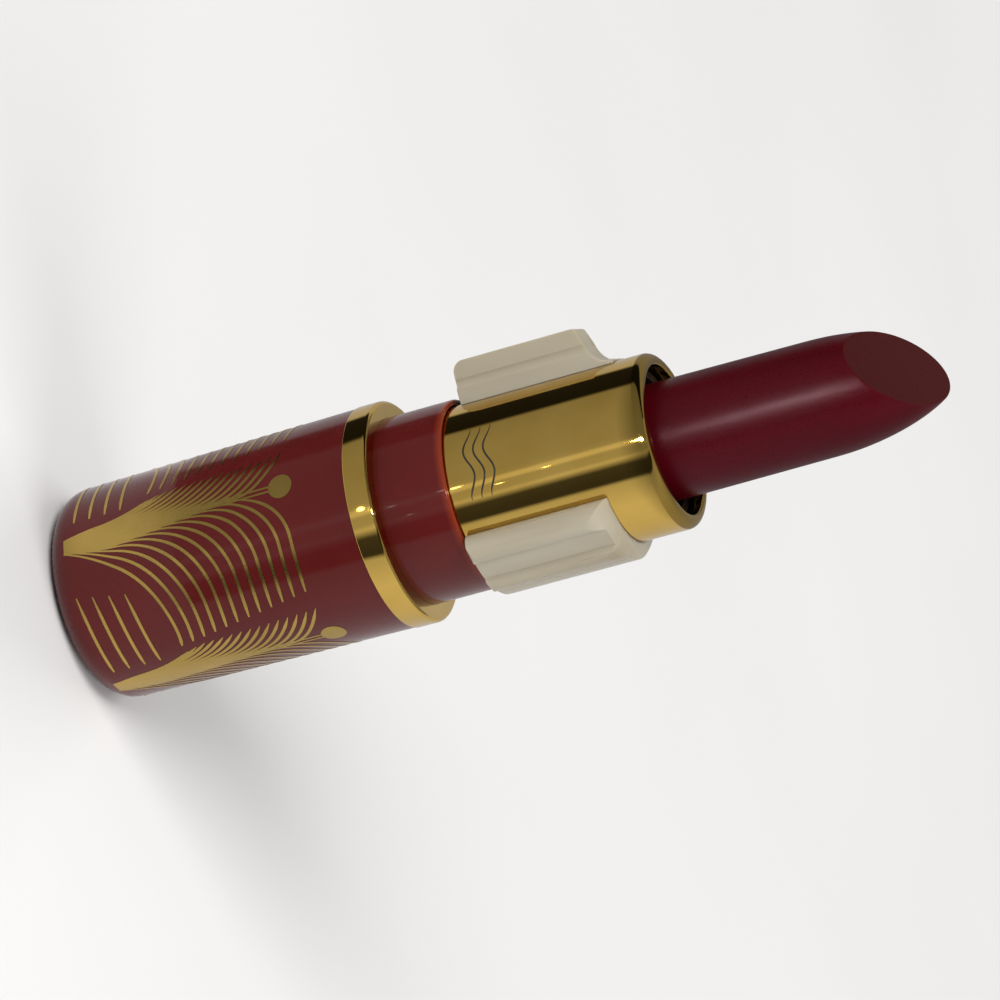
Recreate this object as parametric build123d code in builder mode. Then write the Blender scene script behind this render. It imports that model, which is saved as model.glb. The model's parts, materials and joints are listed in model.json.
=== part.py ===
"""Twist-up lipstick with its cap off, in millimetres, standing on its base with its axis on +Z.

The base carries a slotted guide tube. The gold barrel carries a spiral sleeve round that tube. Two lugs on
the elevator cup pass through the guide's straight slots into the spiral's helical grooves, so turning the
barrel against the base slides the cup and its lipstick along the axis. A translucent clip grips the barrel.
Everything is modelled fully wound out.
"""

import os
from math import cos, radians, sin

from build123d import *

# --- heights along the axis -------------------------------------------------------------------------------
BASE_HEIGHT = 29.9
RING_HEIGHT = 2.3
COLLAR_HEIGHT = 6.5
BARREL_EXPOSED = 18.8
BULLET_EXPOSED = 24.8
RING_TOP = BASE_HEIGHT + RING_HEIGHT
COLLAR_TOP = RING_TOP + COLLAR_HEIGHT
RIM_TOP = COLLAR_TOP + BARREL_EXPOSED
TIP_TOP = RIM_TOP + BULLET_EXPOSED

# --- radii --------------------------------------------------------------------------------------------------
BASE_FOOT_R = 9.7
BASE_HEAD_R = 10.12
RING_R = 10.2
COLLAR_R = 8.6
BARREL_R = 8.0
BARREL_WALL = 0.6
BULLET_R = 5.3
FIT = 0.02  # a pressed or glued pair
RUNNING = 0.07  # a pair that turns or slides
THRUST = 0.03  # a face that turns on another
END_GAP = 0.1  # a seat that stops short of its neighbour

# --- travel -------------------------------------------------------------------------------------------------
TRAVEL = 27.5
TURNS = 1.5
LEAD = TRAVEL / TURNS

# --- mechanism ----------------------------------------------------------------------------------------------
BARREL_BORE_R = BARREL_R - BARREL_WALL
BARREL_FOOT = 15.7
SPIRAL_R = BARREL_BORE_R - FIT
SPIRAL_BORE_R = 6.72
SPIRAL_TOP = RIM_TOP - 2.4
GROOVE_DEPTH = 0.42
GROOVE_WIDTH = 2.0
GUIDE_R = SPIRAL_BORE_R - RUNNING
GUIDE_BORE_R = 6.08
GUIDE_TOP = RIM_TOP - 1.5
CUP_R = GUIDE_BORE_R - RUNNING
CUP_BORE_R = BULLET_R + FIT
CUP_TOP = RIM_TOP - 2.0
CUP_FOOT = CUP_TOP - 9.8
CUP_FLOOR = 0.8
LUG_R = 0.8
LUG_HEIGHT = CUP_FOOT + 1.4
LUG_REACH = 7.05
LUG_ANGLES = (0, 180)
LUG_PLAY = 0.2
FLANGE_R = 7.9
FLANGE_FOOT = 13.8
WASHER_FOOT = 15.03
STEM_FOOT = 3.2
STEM_R = 4.5  # to the corners of the hexagon

# --- base ---------------------------------------------------------------------------------------------------
BASE_ROUNDING = 2.7
BASE_FLOOR = 1.6
BASE_BORE_R = COLLAR_R + FIT
COLLAR_BORE_R = BARREL_R + RUNNING
COLLAR_FOOT = 16.7
COLLAR_FLANGE_R = 9.3
COLLAR_FLANGE_HEIGHT = 1.2
LABEL_R = 6.4
LABEL_THICKNESS = 0.25

# --- lipstick -----------------------------------------------------------------------------------------------
DRAFT = 0.1  # the stick narrows this much in radius towards its tip
DOME_HEIGHT = 13.0
DOME_FOOT_POWER = 1.9  # r = dome_r * (1 - h ** foot power) ** (1 / tip power), h from 0 to 1 up the dome
DOME_TIP_POWER = 1.8
DOME_STEPS = 6
DOME_DRAWN = 0.92  # share of the dome that is drawn; the rest would be cut away
TIP_OFFSET = 2.56  # distance of the tip from the axis
CUT_SLOPE = 43.8
CUT_FACING = 223  # degrees round the axis that the cut looks towards
CUT_ROUNDING = 0.15

# --- clip ---------------------------------------------------------------------------------------------------
CLIP_FOOT = COLLAR_TOP + 0.3
CLIP_GAP = 0.03  # between the clip and the barrel
CLIP_BORE_R = BARREL_R + CLIP_GAP
CLIP_R = 9.4
CLIP_START = -57.5  # degrees round the axis, middle of the outermost ridge of the pad
CLIP_END = 177  # middle of the finger tab
RIDGE_R = 1.3
RIDGE_CENTRE_R = 8.7
RIDGE_PITCH = 27  # degrees between the pad's two ridges
PAD_NOSE = RIM_TOP - 5.2
PAD_RAMP = 2.8  # the C curves down to its nose over this length
PAD_FOOT_ROUNDING = 0.45
TAB_FOOT = CLIP_FOOT + 0.65
TAB_REACH = 11.7
TAB_HALF = 1.8
TAB_HALF_OUTER = 1.5
TAB_CREASE = 9.5
TAB_RAMP_FOOT = RIM_TOP - 6.1
TAB_KNEE_R = 9.5
TAB_KNEE = RIM_TOP - 5.35
TAB_NOSE = RIM_TOP - 3.3
NOSE_LIP = 0.16
TAB_FOOT_ROUNDING = 1.0
TAB_NOSE_ROUNDING = 0.45
FLUTE_R = 0.75
FLUTE_DEPTH = 0.16
FLUTE_PLACES = (9.75, 10.95)


# Outer case: a tapered cup with a rounded foot, a recess for the label and a seat for the collar's flange.
with BuildPart() as base_shell:
    with BuildSketch(Plane.XZ):
        with BuildLine():
            Polyline((0, 0), (BASE_FOOT_R, 0), (BASE_HEAD_R, BASE_HEIGHT), (0, BASE_HEIGHT), close=True)
        make_face()
        fillet(vertices().sort_by(Axis.Y)[:2].sort_by(Axis.X)[-1:], BASE_ROUNDING)
    revolve(axis=Axis.Z)
    with BuildSketch(Plane.XY.offset(BASE_FLOOR)):
        Circle(BASE_BORE_R)
    extrude(amount=BASE_HEIGHT, mode=Mode.SUBTRACT)
    with BuildSketch(Plane.XY.offset(BASE_HEIGHT - COLLAR_FLANGE_HEIGHT)):
        Circle(COLLAR_FLANGE_R + FIT)
    extrude(amount=COLLAR_FLANGE_HEIGHT, mode=Mode.SUBTRACT)
    with BuildSketch(Plane.XY):
        Circle(LABEL_R + FIT)
    extrude(amount=LABEL_THICKNESS, mode=Mode.SUBTRACT)

# Blank shade label, let in flush with the foot.
with BuildPart() as shade_label:
    with BuildSketch(Plane.XY):
        Circle(LABEL_R)
    extrude(amount=LABEL_THICKNESS)

# Moulded socket in the bottom of the case: a ribbed plug with a hexagonal hole that drives the guide's stem.
SOCKET_HUB_R = 5.7
SOCKET_WALL = 0.9
SOCKET_TOP = FLANGE_FOOT - END_GAP
SOCKET_FLOOR = STEM_FOOT - END_GAP
SOCKET_RIBS = 6
SOCKET_RIB_LENGTH = 3.0
STEM_SIDES = 6
with BuildPart() as socket_insert:
    with BuildSketch(Plane.XY.offset(BASE_FLOOR)):
        Circle(BASE_BORE_R - FIT)
    extrude(amount=SOCKET_FLOOR - BASE_FLOOR)
    with BuildSketch(Plane.XY.offset(SOCKET_FLOOR)):
        Circle(BASE_BORE_R - FIT)
        Circle(BASE_BORE_R - FIT - SOCKET_WALL, mode=Mode.SUBTRACT)
        Circle(SOCKET_HUB_R)
        with PolarLocations(0, SOCKET_RIBS):
            with Locations((SOCKET_HUB_R + SOCKET_RIB_LENGTH / 3, 0)):
                Rectangle(SOCKET_RIB_LENGTH, SOCKET_WALL)
        RegularPolygon(STEM_R + FIT, STEM_SIDES, mode=Mode.SUBTRACT)
    extrude(amount=SOCKET_TOP - SOCKET_FLOOR)

# Neck that the cap slides over: a thin sleeve with a hidden flange, and a rounded mouth round the barrel.
MOUTH_ROUNDING = 0.22
with BuildPart() as collar:
    with BuildSketch(Plane.XY.offset(COLLAR_FOOT)):
        Circle(COLLAR_R)
        Circle(COLLAR_BORE_R, mode=Mode.SUBTRACT)
    extrude(amount=COLLAR_TOP - COLLAR_FOOT)
    with BuildSketch(Plane.XY.offset(BASE_HEIGHT - COLLAR_FLANGE_HEIGHT)):
        Circle(COLLAR_FLANGE_R)
        Circle(COLLAR_BORE_R, mode=Mode.SUBTRACT)
    extrude(amount=COLLAR_FLANGE_HEIGHT)
    fillet(faces().sort_by(Axis.Z)[-1].edges(), MOUTH_ROUNDING)

# Bright band between the case and the neck, with a softened upper edge and a flat top.
RING_TOP_ROUNDING = 0.38
RING_FOOT_ROUNDING = 0.12
with BuildPart() as trim_ring:
    with BuildSketch(Plane.XZ):
        with Locations(((RING_R + COLLAR_R + FIT) / 2, BASE_HEIGHT + RING_HEIGHT / 2)):
            Rectangle(RING_R - COLLAR_R - FIT, RING_HEIGHT)
        fillet(vertices().sort_by_distance((RING_R, RING_TOP))[:1], RING_TOP_ROUNDING)
        fillet(vertices().sort_by_distance((RING_R, BASE_HEIGHT))[:1], RING_FOOT_ROUNDING)
    revolve(axis=Axis.Z)

# Slotted guide tube: hexagonal stem, thrust flange, tube with two straight slots, and a snap bead at the top.
SLOT_MARGIN = 1.3
GUIDE_FLOOR = 1.6
BEAD_R = 7.2
BEAD_HEIGHT = GUIDE_TOP - SPIRAL_TOP - END_GAP
FLANGE_TOP = WASHER_FOOT - THRUST
with BuildPart() as guide_tube:
    with BuildSketch(Plane.XY.offset(STEM_FOOT)):
        RegularPolygon(STEM_R, STEM_SIDES)
    extrude(amount=FLANGE_FOOT - STEM_FOOT)
    with BuildSketch(Plane.XY.offset(FLANGE_FOOT)):
        Circle(FLANGE_R)
    extrude(amount=FLANGE_TOP - FLANGE_FOOT)
    with BuildSketch(Plane.XY.offset(FLANGE_TOP)):
        Circle(GUIDE_R)
    extrude(amount=GUIDE_TOP - FLANGE_TOP)
    with BuildSketch(Plane.XY.offset(GUIDE_TOP)):
        Circle(BEAD_R)
    extrude(amount=-BEAD_HEIGHT)
    chamfer(faces().sort_by(Axis.Z)[-1].edges(), BEAD_HEIGHT / 3)
    with BuildSketch(Plane.XY.offset(FLANGE_FOOT + GUIDE_FLOOR)):
        Circle(GUIDE_BORE_R)
    extrude(amount=GUIDE_TOP, mode=Mode.SUBTRACT)
    slot_low = LUG_HEIGHT - TRAVEL - SLOT_MARGIN
    slot_high = LUG_HEIGHT + SLOT_MARGIN
    with BuildSketch(Plane.YZ):
        with Locations((0, (slot_low + slot_high) / 2)):
            SlotOverall(slot_high - slot_low, 2 * (LUG_R + LUG_PLAY), rotation=90)
    extrude(amount=2 * GUIDE_R, both=True, mode=Mode.SUBTRACT)

# Brake washer that drags lightly between the guide's flange and the foot of the barrel.
with BuildPart() as brake_washer:
    with BuildSketch(Plane.XY.offset(WASHER_FOOT)):
        Circle(FLANGE_R - FIT)
        Circle(SPIRAL_BORE_R, mode=Mode.SUBTRACT)
    extrude(amount=BARREL_FOOT - WASHER_FOOT - THRUST)

# Barrel: a drawn shell whose mouth is turned in to a smooth lip.
LIP_R = 6.8
LIP_THICKNESS = 0.75
LIP_ROUNDING = 0.9
LIP_EDGE = 0.22
with BuildPart() as barrel_shell:
    with BuildSketch(Plane.XZ):
        with BuildLine():
            Polyline(
                (BARREL_R, BARREL_FOOT),
                (BARREL_R, RIM_TOP),
                (LIP_R, RIM_TOP),
                (LIP_R, RIM_TOP - LIP_THICKNESS),
                (BARREL_BORE_R, RIM_TOP - LIP_THICKNESS),
                (BARREL_BORE_R, BARREL_FOOT),
                close=True,
            )
        make_face()
        top = vertices().group_by(Axis.Y)[-1].sort_by(Axis.X)
        fillet(top[-1:], LIP_ROUNDING)
        fillet(vertices().group_by(Axis.Y)[-1].sort_by(Axis.X)[:1], LIP_EDGE)
        fillet(vertices().sort_by_distance((BARREL_BORE_R, RIM_TOP - LIP_THICKNESS))[:1], LIP_EDGE)
    revolve(axis=Axis.Z)

# Cutter for one helical groove that ends in a round pocket at each end.
GROOVE_LOW = LUG_HEIGHT - TRAVEL - LUG_PLAY
GROOVE_HIGH = LUG_HEIGHT + LUG_PLAY
GROOVE_OVERLAP = 0.6
groove_mid_r = SPIRAL_BORE_R + (GROOVE_DEPTH - GROOVE_OVERLAP) / 2
low_angle = -360 * (LUG_HEIGHT - GROOVE_LOW) / LEAD
high_angle = 360 * (GROOVE_HIGH - LUG_HEIGHT) / LEAD
with BuildPart() as groove_cutter:
    with BuildLine(Plane.XY.rotated((0, 0, low_angle))):
        path = Helix(LEAD, GROOVE_HIGH - GROOVE_LOW, groove_mid_r, center=(0, 0, GROOVE_LOW))
    outward = (cos(radians(low_angle)), sin(radians(low_angle)), 0)
    with BuildSketch(Plane(origin=path @ 0, x_dir=outward, z_dir=path % 0)):
        Rectangle(GROOVE_DEPTH + GROOVE_OVERLAP, GROOVE_WIDTH)
    sweep(path=path, is_frenet=True)
    with Locations(
        Location((0, 0, GROOVE_LOW), (0, 90, low_angle)),
        Location((0, 0, GROOVE_HIGH), (0, 90, high_angle)),
    ):
        Cylinder(
            GROOVE_WIDTH / 2,
            SPIRAL_BORE_R + GROOVE_DEPTH,
            align=(Align.CENTER, Align.CENTER, Align.MIN),
        )

# Spiral sleeve: a tube with one internal groove for each lug.
with BuildPart() as spiral_sleeve:
    with BuildSketch(Plane.XY.offset(BARREL_FOOT)):
        Circle(SPIRAL_R)
        Circle(SPIRAL_BORE_R, mode=Mode.SUBTRACT)
    extrude(amount=SPIRAL_TOP - BARREL_FOOT)
    for lug_angle in LUG_ANGLES:
        add(groove_cutter.part.rotate(Axis.Z, lug_angle), mode=Mode.SUBTRACT)

# Elevator cup: holds the foot of the lipstick and carries the two lugs.
CUP_ROUNDING = 0.25
with BuildPart() as elevator_cup:
    with BuildSketch(Plane.XY.offset(CUP_FOOT)):
        Circle(CUP_R)
    extrude(amount=CUP_TOP - CUP_FOOT)
    fillet(faces().sort_by(Axis.Z)[-1].edges(), CUP_ROUNDING)
    for lug_angle in LUG_ANGLES:
        with Locations(Location((0, 0, LUG_HEIGHT), (0, 90, lug_angle))):
            Cylinder(LUG_R, LUG_REACH, align=(Align.CENTER, Align.CENTER, Align.MIN))
    with BuildSketch(Plane.XY.offset(CUP_FOOT + CUP_FLOOR)):
        Circle(CUP_BORE_R)
    extrude(amount=CUP_TOP, mode=Mode.SUBTRACT)

# Lipstick: a slightly tapered stick with a pointed dome, cut off obliquely.
stick_foot = CUP_FOOT + CUP_FLOOR + FIT
dome_r = BULLET_R - DRAFT
tip_share = (1 - (TIP_OFFSET / dome_r) ** DOME_TIP_POWER) ** (1 / DOME_FOOT_POWER)
dome_foot = TIP_TOP - DOME_HEIGHT * tip_share
shares = [DOME_DRAWN * step / DOME_STEPS for step in range(DOME_STEPS + 1)]
profile = [
    (dome_r * (1 - share**DOME_FOOT_POWER) ** (1 / DOME_TIP_POWER), dome_foot + DOME_HEIGHT * share)
    for share in shares
]
with BuildPart() as lipstick_bullet:
    with BuildSketch(Plane.XZ):
        with BuildLine():
            Spline(*profile)
            Polyline(
                profile[-1],
                (0, profile[-1][1]),
                (0, stick_foot),
                (BULLET_R, stick_foot),
                (BULLET_R, RIM_TOP),
                profile[0],
            )
        make_face()
    revolve(axis=Axis.Z)
    facing = Vector(cos(radians(CUT_FACING)), sin(radians(CUT_FACING)), 0)
    tip = Vector(0, 0, TIP_TOP) - facing * TIP_OFFSET
    normal = facing * sin(radians(CUT_SLOPE)) + Vector(0, 0, cos(radians(CUT_SLOPE)))
    split(bisect_by=Plane(origin=tip, z_dir=normal), keep=Keep.BOTTOM)
    cut_edges = faces().filter_by(Plane(origin=tip, z_dir=normal)).edges()
    fillet(cut_edges, CUT_ROUNDING)

# Finger tab of the clip: it stands out from the barrel and ramps down to a thin nose.
with BuildPart() as clip_tab:
    with BuildSketch(Plane.XY.offset(TAB_FOOT).rotated((0, 0, CLIP_END))):
        with BuildLine():
            Polyline(
                (TAB_REACH, TAB_HALF_OUTER),
                (TAB_CREASE, TAB_HALF),
                (CLIP_BORE_R / 2, TAB_HALF),
                (CLIP_BORE_R / 2, -TAB_HALF),
                (TAB_CREASE, -TAB_HALF),
                (TAB_REACH, -TAB_HALF_OUTER),
                close=True,
            )
        make_face()
        flute_centre = TAB_HALF + FLUTE_R - FLUTE_DEPTH
        with Locations([(place, side * flute_centre) for place in FLUTE_PLACES for side in (-1, 1)]):
            Circle(FLUTE_R, mode=Mode.SUBTRACT)
        Circle(CLIP_BORE_R, mode=Mode.SUBTRACT)
    extrude(amount=TAB_NOSE - TAB_FOOT)
    with BuildSketch(Plane.XZ.rotated((0, 0, CLIP_END))):
        with BuildLine():
            Polyline(
                (0, TAB_NOSE),
                (0, TAB_FOOT),
                (TAB_REACH, TAB_FOOT),
                (TAB_REACH, TAB_RAMP_FOOT),
                (TAB_KNEE_R, TAB_KNEE),
            )
            TangentArc(
                (TAB_KNEE_R, TAB_KNEE),
                (CLIP_BORE_R + NOSE_LIP, TAB_NOSE),
                tangent=(TAB_KNEE_R - TAB_REACH, TAB_KNEE - TAB_RAMP_FOOT),
            )
            Line((CLIP_BORE_R + NOSE_LIP, TAB_NOSE), (0, TAB_NOSE))
        make_face()
        fillet(vertices().sort_by_distance((TAB_REACH, TAB_FOOT))[:1], TAB_FOOT_ROUNDING)
        fillet(vertices().sort_by_distance((TAB_REACH, TAB_RAMP_FOOT))[:1], TAB_NOSE_ROUNDING)
    extrude(amount=2 * TAB_HALF, both=True, mode=Mode.INTERSECT)

# Clip: a C round the back of the barrel, with a softly ridged pad at one end of its mouth and the finger tab at
# the other. The C ends lower than the tab.
mouth_centre = (CLIP_START + CLIP_END + 360) / 2
far = 3 * CLIP_R
PAD_CLEAR = 0.03  # the roundings are turned this far outside the ridges
pad_r = RIDGE_CENTRE_R + RIDGE_R + PAD_CLEAR
with BuildPart() as barrel_clip:
    with BuildSketch(Plane.XY.offset(CLIP_FOOT)):
        Circle(CLIP_R)
        with BuildLine():
            Polyline(
                (0, 0),
                (far * cos(radians(CLIP_END)), far * sin(radians(CLIP_END))),
                (far * cos(radians(mouth_centre)), far * sin(radians(mouth_centre))),
                (far * cos(radians(CLIP_START)), far * sin(radians(CLIP_START))),
                close=True,
            )
        make_face(mode=Mode.SUBTRACT)
        with PolarLocations(RIDGE_CENTRE_R, 2, CLIP_START, RIDGE_PITCH, endpoint=True):
            Circle(RIDGE_R)
        Circle(CLIP_BORE_R, mode=Mode.SUBTRACT)
    extrude(amount=PAD_NOSE - CLIP_FOOT)
    with BuildSketch(Plane.XZ):
        with BuildLine():
            Spline(
                (pad_r, PAD_NOSE - PAD_RAMP),
                (CLIP_BORE_R + NOSE_LIP, PAD_NOSE),
                tangents=((0, 1), (-1, 0.4)),
            )
            Polyline(
                (CLIP_BORE_R + NOSE_LIP, PAD_NOSE),
                (0, PAD_NOSE),
                (0, CLIP_FOOT),
                (pad_r, CLIP_FOOT),
                (pad_r, PAD_NOSE - PAD_RAMP),
            )
        make_face()
        fillet(vertices().sort_by_distance((pad_r, CLIP_FOOT))[:1], PAD_FOOT_ROUNDING)
    revolve(axis=Axis.Z, mode=Mode.INTERSECT)
    add(clip_tab.part)

PARTS = {
    "base_shell": base_shell,
    "shade_label": shade_label,
    "socket_insert": socket_insert,
    "collar": collar,
    "trim_ring": trim_ring,
    "guide_tube": guide_tube,
    "brake_washer": brake_washer,
    "barrel_shell": barrel_shell,
    "spiral_sleeve": spiral_sleeve,
    "elevator_cup": elevator_cup,
    "lipstick_bullet": lipstick_bullet,
    "barrel_clip": barrel_clip,
}

os.makedirs("parts", exist_ok=True)
for name, builder in PARTS.items():
    builder.part.label = name
    export_step(builder.part, f"parts/{name}.step")
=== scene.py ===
"""Looks for the twist-up lipstick: materials, foil drawing, ornament, stage, light and camera.

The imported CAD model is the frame. Lengths are metres.
The axis of the case is +Z and the base stands on z = 0.
"""

import json
import math

import bmesh
import bpy
from mathutils import Matrix, Vector


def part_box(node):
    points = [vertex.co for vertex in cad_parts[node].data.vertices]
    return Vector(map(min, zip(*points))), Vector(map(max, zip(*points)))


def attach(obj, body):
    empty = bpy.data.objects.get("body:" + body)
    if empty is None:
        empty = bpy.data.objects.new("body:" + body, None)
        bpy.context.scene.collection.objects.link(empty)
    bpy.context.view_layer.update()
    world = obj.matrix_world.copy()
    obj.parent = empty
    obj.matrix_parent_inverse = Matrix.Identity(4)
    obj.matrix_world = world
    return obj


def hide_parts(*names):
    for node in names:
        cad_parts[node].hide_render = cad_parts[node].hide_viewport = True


MM = 0.001
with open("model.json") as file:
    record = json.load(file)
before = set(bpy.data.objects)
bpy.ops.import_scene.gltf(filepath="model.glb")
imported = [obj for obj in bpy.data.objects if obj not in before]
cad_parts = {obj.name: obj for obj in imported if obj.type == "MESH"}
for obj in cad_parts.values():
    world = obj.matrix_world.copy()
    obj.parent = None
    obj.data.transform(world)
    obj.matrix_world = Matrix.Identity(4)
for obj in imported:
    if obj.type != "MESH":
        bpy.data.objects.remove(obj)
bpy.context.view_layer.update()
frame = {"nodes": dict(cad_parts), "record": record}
nodes = frame["nodes"]
scene = bpy.context.scene

# --- places that come from the frame ---
base_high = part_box("base_shell")[1]
collar_low, collar_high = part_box("collar")
barrel_low, barrel_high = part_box("barrel_shell")
ring_low, ring_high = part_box("trim_ring")
BASE_TOP = base_high.z
BASE_HEAD_R = base_high.x
BASE_DRAFT = 0.42 * MM  # the case is this much thinner at its foot
BASE_FOOT_R = BASE_HEAD_R - BASE_DRAFT
BASE_ROUNDING = 2.7 * MM
BARREL_R = barrel_high.x
COLLAR_TOP = collar_high.z
RIM_TOP = barrel_high.z
RING_R = ring_high.x
COLLAR_R = 8.6 * MM

# --- how the photograph looks at the object ---
LEAN = math.radians(18.5)  # of the axis, towards the camera
ROLL = math.radians(15.25)  # between what the case and the stick ask for
CAMERA_DISTANCE = 0.5
FOCAL_LENGTH = 202.9
SIGHT_HEIGHT = 40.67 * MM
SIGHT_DROP = 1.153 * MM


# --- node helpers ---
def new_material(name):
    """A material with an empty tree, its output and its Principled shader."""
    material = bpy.data.materials.new(name)
    material.use_nodes = True
    tree = material.node_tree
    tree.nodes.clear()
    output = tree.nodes.new("ShaderNodeOutputMaterial")
    shader = tree.nodes.new("ShaderNodeBsdfPrincipled")
    tree.links.new(shader.outputs[0], output.inputs[0])
    return material, tree, shader


def add(tree, kind, **settings):
    """A node with its properties and its unlinked inputs set by name."""
    node = tree.nodes.new("ShaderNode" + kind)
    for key, value in settings.items():
        if hasattr(node, key):
            setattr(node, key, value)
        else:
            node.inputs[key.replace("_", " ")].default_value = value
    return node


def place(tree, stretch=(1, 1, 1)):
    """Object coordinates, scaled along each axis."""
    where = add(tree, "TexCoord")
    scaled = add(tree, "Mapping")
    scaled.inputs["Scale"].default_value = stretch
    tree.links.new(where.outputs["Object"], scaled.inputs["Vector"])
    return scaled.outputs[0]


def noise(tree, scale, detail=4.0, stretch=(1, 1, 1), roughness=0.5):
    """Noise over the object, as a value."""
    node = add(tree, "TexNoise", Scale=scale, Detail=detail, Roughness=roughness)
    tree.links.new(place(tree, stretch), node.inputs["Vector"])
    return node.outputs[0]


def ramp(tree, value, low, high, start, end):
    """Maps a value from low..high to start..end, clamped."""
    node = add(tree, "MapRange")
    node.inputs["From Min"].default_value = low
    node.inputs["From Max"].default_value = high
    node.inputs["To Min"].default_value = start
    node.inputs["To Max"].default_value = end
    tree.links.new(value, node.inputs["Value"])
    return node.outputs[0]


def blend_colours(tree, factor, first, second):
    """Mixes two colours; either may be a socket."""
    node = add(tree, "Mix", data_type="RGBA")
    tree.links.new(factor, node.inputs[0])
    for socket, colour in ((node.inputs[6], first), (node.inputs[7], second)):
        if isinstance(colour, tuple):
            socket.default_value = (*colour, 1)
        else:
            tree.links.new(colour, socket)
    return node.outputs[2]


def bump(tree, shader, height, strength, distance):
    """Feeds a height into the shader's normal."""
    node = add(tree, "Bump", Strength=strength, Distance=distance)
    tree.links.new(height, node.inputs["Height"])
    tree.links.new(node.outputs[0], shader.inputs["Normal"])


def constants(shader, **values):
    """Sets the shader's own sockets."""
    for key, value in values.items():
        shader.inputs[key.replace("_", " ")].default_value = value


# --- materials ---
def lacquer(name, deep, light, painted_glow_colour=None, rim_from=0.0, rim_to=1.0):
    """Deep glossy lacquer with a faint cloudiness, fine dust pits and an optional painted glow: a paler
    colour along z near the rim that stands in for light shining through the translucent edge.
    """
    material, tree, shader = new_material(name)
    constants(shader, IOR=1.4, Coat_Weight=0.5, Coat_Roughness=0.05, Coat_IOR=1.4)
    shader.inputs["Specular IOR Level"].default_value = 0.1
    colour = blend_colours(tree, ramp(tree, noise(tree, 90), 0.35, 0.7, 0, 1), deep, light)
    # Painted glow: light through the translucent mouth, painted as a paler orange-red base colour from
    # rim_from up to rim_to.
    if painted_glow_colour:
        where = add(tree, "TexCoord")
        split = add(tree, "SeparateXYZ")
        tree.links.new(where.outputs["Object"], split.inputs[0])
        painted_glow_share = ramp(tree, split.outputs[2], rim_from, rim_to, 0, 1)
        colour = blend_colours(tree, painted_glow_share, colour, painted_glow_colour)
    tree.links.new(colour, shader.inputs["Base Color"])
    tree.links.new(ramp(tree, noise(tree, 700), 0.3, 0.8, 0.2, 0.34), shader.inputs["Roughness"])
    bump(tree, shader, noise(tree, 420, detail=2), 0.04, 0.02 * MM)
    return material


def gold(name, deep, light, rough=(0.04, 0.09), wear=0.03):
    """Polished gold-coloured metal: warm mottling, finger smears and the faintest unevenness."""
    material, tree, shader = new_material(name)
    constants(shader, Metallic=1.0)
    mottle = ramp(tree, noise(tree, 160, detail=6), 0.3, 0.7, 0, 1)
    tree.links.new(blend_colours(tree, mottle, deep, light), shader.inputs["Base Color"])
    smear = noise(tree, 240, detail=6, stretch=(1, 1, 0.5), roughness=0.6)
    tree.links.new(ramp(tree, smear, 0.4, 0.75, *rough), shader.inputs["Roughness"])
    bump(tree, shader, smear, wear, 0.02 * MM)
    return material


def wax(name, deep, light, cut_colour):
    """Satin lipstick: streaks from the mould along the axis, a fine pearly grain and a duller cut face."""
    material, tree, shader = new_material(name)
    constants(shader, IOR=1.4, Subsurface_Weight=0.04, Subsurface_Scale=0.4 * MM)
    shader.inputs["Subsurface Radius"].default_value = (1.0, 0.15, 0.15)
    shader.inputs["Specular IOR Level"].default_value = 0.3
    shader.inputs["Specular Tint"].default_value = (1.0, 0.80, 0.95, 1)
    streak = noise(tree, 260, detail=5, stretch=(1, 1, 0.06), roughness=0.6)
    side_colour = blend_colours(tree, ramp(tree, streak, 0.3, 0.7, 0, 1), deep, light)
    facing = add(tree, "TexCoord")
    parts = add(tree, "SeparateXYZ")
    tree.links.new(facing.outputs["Normal"], parts.inputs[0])
    on_cut = ramp(tree, parts.outputs[2], 0.55, 0.68, 0, 1)
    tree.links.new(blend_colours(tree, on_cut, side_colour, cut_colour), shader.inputs["Base Color"])
    grain = noise(tree, 5200, detail=3, roughness=0.7)
    tree.links.new(ramp(tree, grain, 0.35, 0.65, 0.26, 0.42), shader.inputs["Roughness"])
    both = add(tree, "Math", operation="ADD")
    tree.links.new(ramp(tree, grain, 0, 1, 0, 0.5), both.inputs[0])
    tree.links.new(ramp(tree, streak, 0, 1, 0, 0.6), both.inputs[1])
    bump(tree, shader, both.outputs[0], 0.25, 0.03 * MM)
    return material


def milky(name, deep, light):
    """Translucent natural plastic with flow marks along the axis."""
    material, tree, shader = new_material(name)
    constants(shader, IOR=1.49, Transmission_Weight=0.22, Subsurface_Weight=0.5, Subsurface_Scale=1.0 * MM)
    shader.inputs["Subsurface Radius"].default_value = (1.0, 0.9, 0.7)
    flow = noise(tree, 240, detail=2, stretch=(1, 1, 0.2), roughness=0.4)
    tree.links.new(
        blend_colours(tree, ramp(tree, flow, 0.2, 0.8, 0, 1), deep, light), shader.inputs["Base Color"]
    )
    tree.links.new(ramp(tree, flow, 0.2, 0.8, 0.22, 0.36), shader.inputs["Roughness"])
    bump(tree, shader, noise(tree, 900, detail=2), 0.05, 0.02 * MM)
    return material


def moulded(name, deep, light, rough):
    """Plain moulded plastic or paper with a fine texture."""
    material, tree, shader = new_material(name)
    grain = noise(tree, 900, detail=4)
    tree.links.new(
        blend_colours(tree, ramp(tree, grain, 0.3, 0.7, 0, 1), deep, light), shader.inputs["Base Color"]
    )
    tree.links.new(ramp(tree, grain, 0.3, 0.7, rough - 0.06, rough + 0.06), shader.inputs["Roughness"])
    bump(tree, shader, grain, 0.15, 0.03 * MM)
    return material


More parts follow.
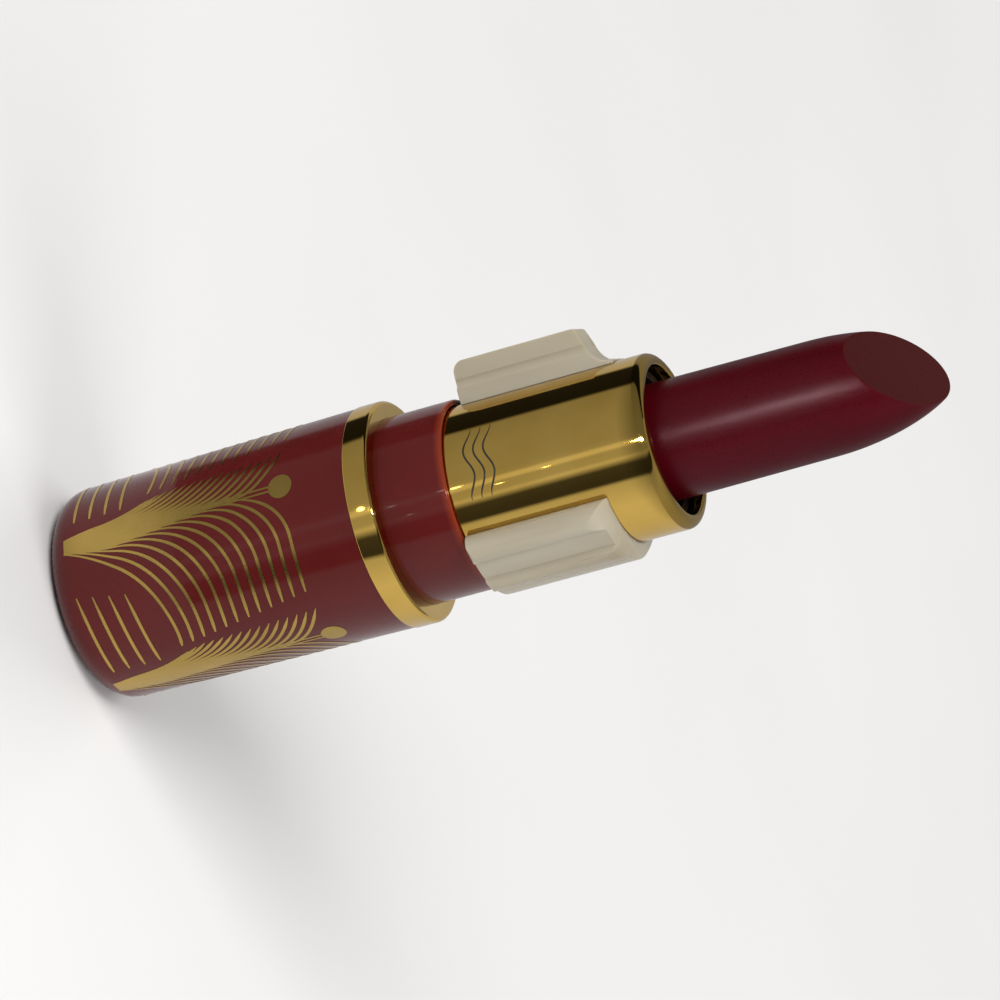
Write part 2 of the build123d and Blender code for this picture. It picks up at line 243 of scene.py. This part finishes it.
RED_DEEP = (0.076, 0.0060, 0.0055)
RED_LIGHT = (0.093, 0.0082, 0.0072)
# Painted glow: the orange-red that light shining through the collar's translucent mouth gives its top
# MOUTH_DEPTH.
MOUTH_PAINTED_GLOW = (0.19, 0.026, 0.009)
MOUTH_DEPTH = 0.7 * MM
CUT_COLOUR = (0.045, 0.007, 0.006)
looks = {
    "red_lacquer": lacquer("red_lacquer", RED_DEEP, RED_LIGHT),
    "collar_plastic": lacquer(
        "collar_plastic", RED_DEEP, RED_LIGHT, MOUTH_PAINTED_GLOW, COLLAR_TOP - MOUTH_DEPTH, COLLAR_TOP
    ),
    "gold_metal": gold("gold_metal", (0.57, 0.36, 0.075), (0.66, 0.44, 0.11)),
    "gold_foil": gold("gold_foil", (0.36, 0.24, 0.06), (0.47, 0.32, 0.09), rough=(0.22, 0.34), wear=0.2),
    "lipstick_wax": wax("lipstick_wax", (0.048, 0.0005, 0.0024), (0.066, 0.0008, 0.0042), CUT_COLOUR),
    "clear_plastic": milky("clear_plastic", (0.36, 0.30, 0.20), (0.54, 0.49, 0.38)),
    # Painted shade: this near-black colour stands in for the shade on the inner pieces seen down in the
    # gap round the stick.
    "dark_plastic": moulded("dark_plastic", (0.012, 0.007, 0.007), (0.02, 0.012, 0.012), 0.4),
    "inner_plastic": moulded("inner_plastic", (0.6, 0.58, 0.52), (0.7, 0.68, 0.63), 0.45),
    "washer_plastic": moulded("washer_plastic", (0.62, 0.62, 0.6), (0.7, 0.7, 0.68), 0.4),
    "label_paper": moulded("label_paper", (0.6, 0.57, 0.52), (0.68, 0.66, 0.6), 0.55),
    "ornament_ink": moulded("ornament_ink", (0.014, 0.01, 0.007), (0.022, 0.017, 0.012), 0.35),
}


def wear_material(obj, material):
    """Gives an object one material."""
    obj.data.materials.clear()
    obj.data.materials.append(material)


for part in frame["record"]["subparts"]:
    shown = nodes[part["node"]]
    wear_material(shown, looks[part["material_slot"]])


# --- strokes laid on a turned surface ---
def base_radius(z):
    """Radius of the lacquered case at height z, its rounded foot included."""
    side = BASE_FOOT_R + (BASE_HEAD_R - BASE_FOOT_R) * z / BASE_TOP
    if z >= BASE_ROUNDING:
        return side
    drop = BASE_ROUNDING - z
    return side - BASE_ROUNDING + math.sqrt(max(BASE_ROUNDING**2 - drop**2, 0))


def stroke(mesh, points, widths, radius_at, proud, sunk, across=1):
    """A closed ribbon along points of (angle, z), standing proud of a turned surface and sunk into it."""
    top = [1 - 2 * k / across for k in range(across + 1)]
    outline = [(share, proud) for share in top] + [(share, -sunk) for share in reversed(top)]
    count = len(outline)
    rows = []
    for index, (angle, z) in enumerate(points):
        before = points[max(index - 1, 0)]
        after = points[min(index + 1, len(points) - 1)]
        r = radius_at(z)
        along = Vector(((after[0] - before[0]) * r, after[1] - before[1]))
        if along.length == 0:
            along = Vector((0, 1))
        along.normalize()
        side = Vector((-along.y, along.x)) * widths[index] / 2
        row = []
        for share, lift in outline:
            turn = angle + share * side.x / r
            height = z + share * side.y
            reach = radius_at(height) + lift
            row.append(mesh.verts.new((reach * math.sin(turn), -reach * math.cos(turn), height)))
        rows.append(row)
    for first, second in zip(rows, rows[1:]):
        for k in range(count):
            mesh.faces.new((first[k], first[(k + 1) % count], second[(k + 1) % count], second[k]))
    for row in (rows[0], rows[-1]):
        for k in range(across):
            mesh.faces.new((row[k], row[k + 1], row[count - 2 - k], row[count - 1 - k]))


def disc(mesh, angle, z, size, radius_at, proud, sunk, sides=40, rings=4):
    """A closed round dot on a turned surface, ringed so that it follows the curve."""
    r = radius_at(z)
    layers = []
    for lift in (proud, -sunk):
        reach = radius_at(z) + lift
        centre = mesh.verts.new((reach * math.sin(angle), -reach * math.cos(angle), z))
        loops = []
        for step in range(1, rings + 1):
            loop = []
            for k in range(sides):
                around = 2 * math.pi * k / sides
                turn = angle + size * step / rings * math.cos(around) / r
                height = z + size * step / rings * math.sin(around)
                reach = radius_at(height) + lift
                loop.append(mesh.verts.new((reach * math.sin(turn), -reach * math.cos(turn), height)))
            loops.append(loop)
        layers.append((centre, loops))
    for centre, loops in layers:
        for k in range(sides):
            after = (k + 1) % sides
            mesh.faces.new((centre, loops[0][k], loops[0][after]))
            for inner, outer in zip(loops, loops[1:]):
                mesh.faces.new((inner[k], outer[k], outer[after], inner[after]))
    upper = layers[0][1][-1]
    lower = layers[1][1][-1]
    for k in range(sides):
        after = (k + 1) % sides
        mesh.faces.new((upper[k], lower[k], lower[after], upper[after]))


def finish_mesh(name, mesh, material, body):
    """Turns built faces into a piece that rides on a body."""
    bmesh.ops.recalc_face_normals(mesh, faces=mesh.faces)
    data = bpy.data.meshes.new(name)
    mesh.to_mesh(data)
    mesh.free()
    piece = bpy.data.objects.new(name, data)
    scene.collection.objects.link(piece)
    data.materials.append(material)
    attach(piece, body)
    return piece


# --- turned pieces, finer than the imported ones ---
LATHE_SIDES = 256
ARC_STEPS = 10
SHARP_ANGLE = math.radians(32)


def rounded(corner, before, after, radius):
    """Points of the fillet that rounds a corner of a profile of (r, z)."""
    corner = Vector(corner)
    to_before = (Vector(before) - corner).normalized()
    to_after = (Vector(after) - corner).normalized()
    half = to_before.angle(to_after) / 2
    middle = corner + (to_before + to_after).normalized() * (radius / math.sin(half))
    first = corner + to_before * (radius / math.tan(half)) - middle
    last = corner + to_after * (radius / math.tan(half)) - middle
    sweep = first.angle_signed(last)
    points = []
    for k in range(ARC_STEPS + 1):
        turn = -sweep * k / ARC_STEPS
        points.append(
            (
                middle.x + first.x * math.cos(turn) - first.y * math.sin(turn),
                middle.y + first.x * math.sin(turn) + first.y * math.cos(turn),
            )
        )
    return points


def lathe(name, corners, node, body, slot):
    """A closed ring turned from corners of (r, z, rounding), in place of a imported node."""
    profile = []
    for index, (r, z, rounding) in enumerate(corners):
        before = corners[index - 1][:2]
        after = corners[(index + 1) % len(corners)][:2]
        if rounding:
            profile.extend(rounded((r, z), before, after, rounding))
        else:
            profile.append((r, z))
    mesh = bmesh.new()
    rows = []
    for r, z in profile:
        row = []
        for k in range(LATHE_SIDES):
            turn = 2 * math.pi * k / LATHE_SIDES
            row.append(mesh.verts.new((r * math.cos(turn), r * math.sin(turn), z)))
        rows.append(row)
    for first, second in zip(rows, rows[1:] + rows[:1]):
        for k in range(LATHE_SIDES):
            after = (k + 1) % LATHE_SIDES
            mesh.faces.new((first[k], first[after], second[after], second[k]))
    piece = finish_mesh(name, mesh, looks[slot], body)
    piece.data.set_sharp_from_angle(angle=SHARP_ANGLE)
    for face in piece.data.polygons:
        face.use_smooth = True
    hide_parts(node)
    return piece


COLLAR_GAP = 0.02 * MM
SOCKET_R = COLLAR_R + COLLAR_GAP  # bore round the collar, in the ring and in the case
lathe(
    "bright_ring",
    (
        (SOCKET_R, ring_low.z, 0),
        (RING_R, ring_low.z, 0.12 * MM),
        (RING_R, ring_high.z, 0.38 * MM),
        (SOCKET_R, ring_high.z, 0),
    ),
    "trim_ring",
    "base",
    "gold_metal",
)
COLLAR_BORE_R = BARREL_R + 0.07 * MM
lathe(
    "neck_sleeve",
    (
        (COLLAR_BORE_R, collar_low.z, 0),
        (COLLAR_R, collar_low.z, 0),
        (COLLAR_R, collar_high.z, 0.22 * MM),
        (COLLAR_BORE_R, collar_high.z, 0.22 * MM),
    ),
    "collar",
    "base",
    "collar_plastic",
)
BARREL_BORE_R = BARREL_R - 0.6 * MM
LIP_R = 6.8 * MM
LIP_FOOT = RIM_TOP - 0.75 * MM
lathe(
    "barrel_tube",
    (
        (BARREL_BORE_R, barrel_low.z, 0),
        (BARREL_R, barrel_low.z, 0),
        (BARREL_R, RIM_TOP, 0.9 * MM),
        (LIP_R, RIM_TOP, 0.22 * MM),
        (LIP_R, LIP_FOOT, 0),
        (BARREL_BORE_R, LIP_FOOT, 0.22 * MM),
    ),
    "barrel_shell",
    "barrel",
    "gold_metal",
)
LABEL_R = 6.42 * MM
LABEL_DEPTH = 0.25 * MM
BASE_FLOOR = 1.6 * MM
PINHOLE_R = 0.2 * MM  # a turned piece is a ring, so a pinhole stays under the label
lathe(
    "case_shell",
    (
        (PINHOLE_R, LABEL_DEPTH, 0),
        (LABEL_R, LABEL_DEPTH, 0),
        (LABEL_R, 0, 0),
        (BASE_FOOT_R, 0, BASE_ROUNDING),
        (BASE_HEAD_R, BASE_TOP, 0),
        (SOCKET_R, BASE_TOP, 0),
        (SOCKET_R, BASE_FLOOR, 0),
        (PINHOLE_R, BASE_FLOOR, 0),
    ),
    "base_shell",
    "base",
    "red_lacquer",
)


# --- foil drawing on the case: fans of arches and flares on four axial spines ---
FOIL_PROUD = 0.03 * MM
FOIL_SUNK = 0.06 * MM
LINE = 0.3 * MM
SPINES = 4
SPINE_START = math.radians(-31)
WEDGE_LOW = 2.2 * MM
WEDGE_HIGH = 18.7 * MM
WEDGE_WIDTH = 2.5 * MM
WEDGE_FOOT_WIDTH = 1.3 * MM
WEDGE_BELLY = 0.28
WEDGE_OVERLAP = 0.12 * MM
WEDGE_ROWS = 24
STEM_FOOT = WEDGE_HIGH - 3 * MM
STEM_TURN = 0.022  # radians from the spine to each of its two stems
STEM_WIDTHS = (0.12 * MM, 0.2 * MM)
STEM_TOP = 22.9 * MM
DOT_Z = 23.8 * MM
DOT_R = 1.15 * MM
ARCHES = 12
ARCH_STEPS = 30
ARCH_END_Z = (10.8 * MM, 24.0 * MM)
ARCH_DROOP = 0.3 * MM
ARCH_RISE = (9.6 * MM, 6.1 * MM)
ARCH_BEND = (math.radians(54), math.radians(27))
ARCH_REACH = (math.radians(70), math.radians(57))
SHORT_ARCS = 4
SHORT_ARC_Z = 3.2
SHORT_ARC_PITCH = 1.55
SHORT_ARC_START = 29
SHORT_ARC_STAGGER = 1.5
SHORT_ARC_END = math.radians(76)
SHORT_ARC_DROOP = 0.5 * MM
SHORT_ARC_STEPS = 16
FLARES = 15
FLARE_LEAVE = (4.5 * MM, 19.2 * MM)
FLARE_RISE = (6.2 * MM, 4.6 * MM)
FLARE_SPREAD = (math.radians(9), math.radians(22))
FLARE_CURL = 2.2


def between(pair, share):
    """A value that far from the first of a pair to the second."""
    return pair[0] + (pair[1] - pair[0]) * share


def taper(steps, width, start=0.35, end=0.5):
    """Widths that swell from a fine start and ease off at the end."""
    result = []
    for k in range(steps + 1):
        t = k / steps
        swell = min(1, start + (1 - start) * t * 4)
        ease = min(1, end + (1 - end) * (1 - t) * 8)
        result.append(width * swell * ease)
    return result


def wedge_width(z):
    """The wedge's width at height z: narrow at the foot, widest at its belly, then down to nothing."""
    share = min(max((z - WEDGE_LOW) / (WEDGE_HIGH - WEDGE_LOW), 0), 1)
    if share < WEDGE_BELLY:
        swell = math.sin(math.pi / 2 * share / WEDGE_BELLY)
        return WEDGE_FOOT_WIDTH + (WEDGE_WIDTH - WEDGE_FOOT_WIDTH) * swell
    return WEDGE_WIDTH * (1 - (share - WEDGE_BELLY) / (1 - WEDGE_BELLY))


def wedge_half(z):
    """Half the wedge's angle on the case at height z."""
    return wedge_width(z) / 2 / base_radius(z)


def arch(spine, share):
    """A line that leaves the spine along it, bends through a quarter oval and runs on round the case."""
    crest = between(ARCH_END_Z, share)
    rise = between(ARCH_RISE, share)
    bend = between(ARCH_BEND, share)
    reach = between(ARCH_REACH, share)
    points = []
    for k in range(ARCH_STEPS + 1):
        turn = math.pi / 2 * k / ARCH_STEPS
        z = max(crest - rise * (1 - math.sin(turn)), WEDGE_LOW)
        points.append((spine + wedge_half(z) + bend * (1 - math.cos(turn)), z))
    start = points[-1][0]
    for k in range(1, ARCH_STEPS + 1):
        share = k / ARCH_STEPS
        points.append((start + (spine + reach - start) * share, crest - ARCH_DROOP * share**2))
    return points


def flare(spine, share):
    """A short line that leaves the spine along it and curves away on the other side."""
    leave = between(FLARE_LEAVE, share)
    rise = between(FLARE_RISE, share)
    spread = between(FLARE_SPREAD, share)
    points = []
    for k in range(ARCH_STEPS + 1):
        t = k / ARCH_STEPS
        points.append((spine - wedge_half(leave) - spread * t**FLARE_CURL, leave + rise * t))
    return points


foil = bmesh.new()
for number in range(SPINES):
    spine = SPINE_START + number * 2 * math.pi / SPINES
    wedge = [
        (spine, WEDGE_LOW + (WEDGE_HIGH - WEDGE_LOW) * k / WEDGE_ROWS) for k in range(WEDGE_ROWS + 1)
    ]
    widths = [wedge_width(z) + WEDGE_OVERLAP for angle, z in wedge]
    stroke(foil, wedge, widths, base_radius, FOIL_PROUD, FOIL_SUNK, across=10)
    for side in (-1, 1):
        stem = [(spine + side * STEM_TURN, STEM_FOOT), (spine + side * STEM_TURN, STEM_TOP)]
        stroke(foil, stem, STEM_WIDTHS, base_radius, FOIL_PROUD, FOIL_SUNK)
    disc(foil, spine, DOT_Z, DOT_R, base_radius, FOIL_PROUD, FOIL_SUNK)
    for k in range(ARCHES):
        points = arch(spine, k / (ARCHES - 1))
        stroke(foil, points, taper(2 * ARCH_STEPS, LINE), base_radius, FOIL_PROUD, FOIL_SUNK)
    for k in range(SHORT_ARCS):
        height = (SHORT_ARC_Z + SHORT_ARC_PITCH * k) * MM
        first = spine + math.radians(SHORT_ARC_START + SHORT_ARC_STAGGER * k)
        last = spine + SHORT_ARC_END
        points = []
        for step in range(SHORT_ARC_STEPS + 1):
            t = step / SHORT_ARC_STEPS
            points.append((first + (last - first) * t, height - SHORT_ARC_DROOP * (1 - t) ** 3))
        stroke(foil, points, taper(SHORT_ARC_STEPS, LINE), base_radius, FOIL_PROUD, FOIL_SUNK)
    for k in range(FLARES):
        points = flare(spine, k / (FLARES - 1))
        stroke(foil, points, taper(ARCH_STEPS, LINE, end=0.2), base_radius, FOIL_PROUD, FOIL_SUNK)
finish_mesh("foil_drawing", foil, looks["gold_foil"], "base")

# --- small generic ornament on the barrel ---
INK_PROUD = 0.012 * MM
ORNAMENT_ANGLE = math.radians(-20)
ORNAMENT_Z = COLLAR_TOP + 3.2 * MM
ORNAMENT_LINES = 3
ORNAMENT_HALF = 3.3 * MM
ORNAMENT_PITCH = 0.95 * MM
ORNAMENT_SWING = 0.38 * MM
ORNAMENT_WIDTH = 0.17 * MM
ORNAMENT_STEPS = 48


def barrel_radius(z):
    """Radius of the straight barrel."""
    return BARREL_R


ink = bmesh.new()
for number in range(ORNAMENT_LINES):
    wave = []
    for k in range(ORNAMENT_STEPS + 1):
        t = -1 + 2 * k / ORNAMENT_STEPS
        swing = ORNAMENT_SWING * math.sin(1.5 * math.pi * t)
        height = ORNAMENT_Z + (number - 1) * ORNAMENT_PITCH + swing
        wave.append((ORNAMENT_ANGLE + t * ORNAMENT_HALF / BARREL_R, height))
    widths = taper(ORNAMENT_STEPS, ORNAMENT_WIDTH, end=0.3)
    stroke(ink, wave, widths, barrel_radius, INK_PROUD, FOIL_SUNK)
finish_mesh("barrel_ornament", ink, looks["ornament_ink"], "barrel")

# --- stage ---
FLOOR_SIZE = 6.0
TENT_R = 0.035
TENT_LOW = 0.0005
TENT_HIGH = 0.16
TENT_DIM_FROM = RIM_TOP - 9.0 * MM
TENT_DIM_TO = RIM_TOP - 7.0 * MM
TENT_DIM = 0.45  # share of its brightness left beside the rim and the stick
LAMP_INSET = 0.3 * MM
LAMP_COLOUR = (1.0, 0.95, 0.85, 1)
LIGHT_AIM = (0, 0, 0.04)


def pale_floor():
    """A plain pale floor with the faintest mottling."""
    bpy.ops.mesh.primitive_plane_add(size=FLOOR_SIZE)
    floor = bpy.context.object
    floor.name = "floor"
    material, tree, shader = new_material("floor_paper")
    tint = ramp(tree, noise(tree, 6), 0.3, 0.7, 0, 1)
    tree.links.new(
        blend_colours(tree, tint, (0.62, 0.61, 0.6), (0.66, 0.65, 0.64)), shader.inputs["Base Color"]
    )
    constants(shader, Roughness=0.9)
    shader.inputs["Specular IOR Level"].default_value = 0.1
    floor.data.materials.append(material)


# Brightness seen in reflections, by degrees round the axis.
# 0 faces the camera, + is the picture's lower side.
TENT_STOPS = (
    (-180, 0.30),
    (-150, 0.55),
    (-117, 0.60),
    (-112, 0.02),
    (-82, 0.015),
    (-78, 0.34),
    (-50, 0.40),
    (-20, 0.44),
    (-13.5, 0.50),
    (-12, 0.85),
    (-8, 0.85),
    (-6.5, 0.52),
    (2, 0.55),
    (5, 0.80),
    (8, 0.45),
    (12, 0.07),
    (28, 0.05),
    (32, 0.66),
    (60, 0.90),
    (100, 0.82),
    (150, 0.60),
)
# Small lamps: degrees round the axis, height, half width and half height in mm, brightness.
# The last one makes the streak along the stick.
SPARKS = (
    (-13, 22.6, 1.0, 1.2, 9),
    (-10, 25.8, 0.3, 0.5, 9),
    (3, 27.5, 0.3, 0.35, 7),
    (-12, 31.5, 0.4, 0.6, 9),
    (-4, 36.0, 0.25, 0.4, 9),
    (-8, 41.0, 0.2, 0.35, 9),
    (-10, 65.5, 1.2, 15.5, 40),
)


def glowing(name):
    """A material that only emits, with its emission node."""
    material = bpy.data.materials.new(name)
    material.use_nodes = True
    tree = material.node_tree
    tree.nodes.clear()
    output = tree.nodes.new("ShaderNodeOutputMaterial")
    glow = tree.nodes.new("ShaderNodeEmission")
    tree.links.new(glow.outputs[0], output.inputs[0])
    return material, glow


def only_in_reflections(obj):
    """Makes an object of the stage that nothing but a glossy ray sees."""
    obj.visible_camera = False
    obj.visible_diffuse = False
    obj.visible_shadow = False
    obj.visible_transmission = False
    obj.visible_volume_scatter = False


def reflection_tent():
    """A round screen that only reflections see, banded round the axis."""
    depth = TENT_HIGH - TENT_LOW
    bpy.ops.mesh.primitive_cylinder_add(
        vertices=128, radius=TENT_R, depth=depth, end_fill_type="NOTHING"
    )
    tent = bpy.context.object
    tent.name = "reflection_tent"
    middle = (TENT_LOW + TENT_HIGH) / 2
    tent.location = (0, 0, middle)
    material, glow = glowing("tent_light")
    tree = material.node_tree
    where = add(tree, "TexCoord")
    split = add(tree, "SeparateXYZ")
    tree.links.new(where.outputs["Object"], split.inputs[0])
    flipped = add(tree, "Math", operation="MULTIPLY")
    flipped.inputs[1].default_value = -1
    tree.links.new(split.outputs[1], flipped.inputs[0])
    angle = add(tree, "Math", operation="ARCTAN2")
    tree.links.new(split.outputs[0], angle.inputs[0])
    tree.links.new(flipped.outputs[0], angle.inputs[1])
    share = ramp(tree, angle.outputs[0], -math.pi, math.pi, 0, 1)
    dimmed = ramp(tree, split.outputs[2], TENT_DIM_FROM - middle, TENT_DIM_TO - middle, 1, TENT_DIM)
    bands = add(tree, "ValToRGB")
    bands.color_ramp.interpolation = "LINEAR"
    stops = bands.color_ramp.elements
    while len(stops) > 1:
        stops.remove(stops[-1])
    for index, (degrees_round, level) in enumerate(TENT_STOPS):
        at = (degrees_round + 180) / 360
        stop = stops[0] if index == 0 else stops.new(at)
        stop.position = at
        stop.color = (level, level, level, 1)
    tree.links.new(share, bands.inputs[0])
    tree.links.new(bands.outputs[0], glow.inputs[0])
    tree.links.new(dimmed, glow.inputs[1])
    tent.data.materials.append(material)
    only_in_reflections(tent)


def spark(number, angle, height, half_width, half_height, level):
    """A small lamp that only reflections see, standing on the round screen."""
    turn = math.radians(angle)
    reach = TENT_R - LAMP_INSET
    bpy.ops.mesh.primitive_circle_add(vertices=24, radius=MM, fill_type="NGON")
    lamp = bpy.context.object
    lamp.name = f"spark_{number}"
    lamp.scale = (half_width, half_height, 1)
    lamp.location = (reach * math.sin(turn), -reach * math.cos(turn), height * MM)
    lamp.rotation_euler = (math.pi / 2, 0, turn)
    material, glow = glowing("spark_light")
    glow.inputs[0].default_value = LAMP_COLOUR
    glow.inputs[1].default_value = level
    lamp.data.materials.append(material)
    only_in_reflections(lamp)


def softbox(name, place_at, aim, size, power):
    """A large area light that reflections don't see."""
    data = bpy.data.lights.new(name, "AREA")
    data.shape = "SQUARE"
    data.size = size
    data.energy = power
    lamp = bpy.data.objects.new(name, data)
    scene.collection.objects.link(lamp)
    lamp.location = place_at
    lamp.rotation_mode = "QUATERNION"
    lamp.rotation_quaternion = (Vector(aim) - Vector(place_at)).to_track_quat("-Z", "Y")
    lamp.visible_glossy = False


pale_floor()
reflection_tent()
for number, values in enumerate(SPARKS):
    spark(number, *values)
softbox("key_light", (-0.35, -0.55, 0.75), LIGHT_AIM, 0.5, 9)
softbox("fill_light", (0.6, -0.25, 0.45), LIGHT_AIM, 0.5, 3)
softbox("back_light", (0.1, 0.7, 0.6), LIGHT_AIM, 0.6, 4)

world = bpy.data.worlds.new("studio")
scene.world = world
world.use_nodes = True
world.node_tree.nodes["Background"].inputs[0].default_value = (0.9, 0.92, 0.95, 1)
world.node_tree.nodes["Background"].inputs[1].default_value = 0.35
scene.view_settings.view_transform = "Standard"

# --- camera ---
back = Vector((0, -math.cos(LEAN), math.sin(LEAN)))
axis_in_view = Vector((0, math.sin(LEAN), math.cos(LEAN)))
upper_side = Vector((-1, 0, 0))
right = axis_in_view * math.cos(ROLL) - upper_side * math.sin(ROLL)
up = axis_in_view * math.sin(ROLL) + upper_side * math.cos(ROLL)
target = Vector((0, 0, SIGHT_HEIGHT)) - up * SIGHT_DROP
camera_data = bpy.data.cameras.new("camera")
camera_data.lens = FOCAL_LENGTH
camera_data.sensor_width = 36
camera_data.clip_start = 0.01
camera_data.clip_end = 20
camera = bpy.data.objects.new("camera", camera_data)
scene.collection.objects.link(camera)
camera.location = target + back * CAMERA_DISTANCE
camera.rotation_mode = "QUATERNION"
camera.rotation_quaternion = Matrix((right, up, back)).transposed().to_quaternion()
scene.camera = camera
